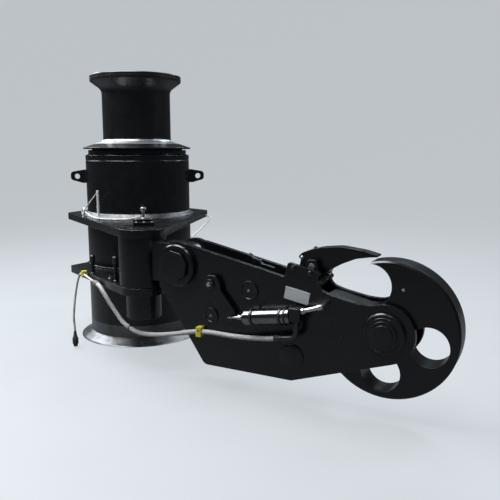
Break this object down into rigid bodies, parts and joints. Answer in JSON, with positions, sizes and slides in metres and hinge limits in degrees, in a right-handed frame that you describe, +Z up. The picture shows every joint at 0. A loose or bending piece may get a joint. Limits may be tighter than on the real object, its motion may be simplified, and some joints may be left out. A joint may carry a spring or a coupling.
{
  "type": "quick-release towing hook",
  "caption": "Deck king post with a warping head and a swivelling, tilting disc hook that a cylinder and lever release.",
  "frame": {"origin": "centre of the king post's foot, on the deck", "axes": "+Z up along the post; +X along the hook as it points at rest"},
  "size_m": [1.6143, 0.7783, 1.016],
  "materials": {
    "black_paint": "satin",
    "bare_steel": "satin",
    "plate_aluminium": "satin",
    "grey_hose": "satin",
    "yellow_plastic": "matte"
  },
  "bodies": {
    "mast": {"king_post": "black_paint", "deck_weld_ring": "bare_steel", "lower_plate": "black_paint", "upper_plate": "black_paint", "winch_housing": "black_paint", "housing_weld_ring": "bare_steel", "capstan_spindle": "black_paint", "lifting_lug_left": "black_paint", "lifting_lug_right": "black_paint", "swivel_pin": "black_paint", "pin_end_cap": "black_paint", "pin_keeper_plate": "black_paint", "hose_gland": "bare_steel", "hose_post": "grey_hose", "feed_cable": "grey_hose", "cable_plug": "grey_hose", "cable_clip": "yellow_plastic", "pull_wire": "bare_steel", "handle_rod": "bare_steel", "lanyard": "bare_steel"},
    "head": {"capstan_head": "black_paint"},
    "swivel": {"swivel_block": "black_paint", "hook_pin": "black_paint"},
    "frame": {"cheek_plate_near": "black_paint", "cheek_plate_far": "black_paint", "cheek_collar_near": "black_paint", "cheek_collar_far": "black_paint", "disc_pin": "black_paint", "jaw_block": "black_paint", "guard_pin": "bare_steel", "frame_spacer_top": "black_paint", "frame_spacer_rear": "black_paint", "frame_spacer_low": "black_paint", "name_plate": "plate_aluminium", "release_cylinder": "black_paint", "cylinder_bracket": "black_paint", "lever_pivot": "bare_steel", "cheek_bolt_top": "black_paint", "cheek_bolt_rear": "black_paint", "cheek_boss_low": "black_paint", "hose_frame": "grey_hose", "hose_clip": "yellow_plastic", "hose_elbow": "bare_steel", "lock_rod": "bare_steel"},
    "disc": {"disc_hook": "black_paint"},
    "guard": {"guard_arm": "black_paint"},
    "rod": {"cylinder_rod": "bare_steel"},
    "lever": {"release_lever": "black_paint"}
  },
  "joints": [
    {"name": "head_spin", "type": "hinge", "parent": "mast", "child": "head", "pos_m": [0, 0, 0.85], "axis": [0, 0, 1], "continuous": true},
    {"name": "swivel", "type": "hinge", "parent": "mast", "child": "swivel", "pos_m": [0.2901, -0.35506, 0.36], "axis": [0, 0, 1], "range_deg": [-115, 15], "deforming": ["hose_post", "lanyard"]},
    {"name": "tilt", "type": "hinge", "parent": "swivel", "child": "frame", "pos_m": [0.4701, -0.35506, 0.38], "axis": [0, -1, 0], "range_deg": [0, 45], "deforming": ["hose_frame"]},
    {"name": "disc_release", "type": "hinge", "parent": "frame", "child": "disc", "pos_m": [1.1226, -0.35506, 0.252], "axis": [0, 1, 0], "range_deg": [0, 100]},
    {"name": "guard_open", "type": "hinge", "parent": "frame", "child": "guard", "pos_m": [0.9081, -0.35506, 0.412], "axis": [0, -1, 0], "range_deg": [0, 55]},
    {"name": "rod_slide", "type": "slide", "parent": "frame", "child": "rod", "axis": [0.9888, 0, 0.1495], "range_m": [0, 0.03]},
    {"name": "lever_turn", "type": "hinge", "parent": "frame", "child": "lever", "pos_m": [0.5961, -0.42306, 0.336], "axis": [0, -1, 0], "range_deg": [0, 18]}
  ],
  "couplings": [
    {"joint": "lever_turn", "follows": "rod_slide", "rad_per_m": 9.9}
  ]
}
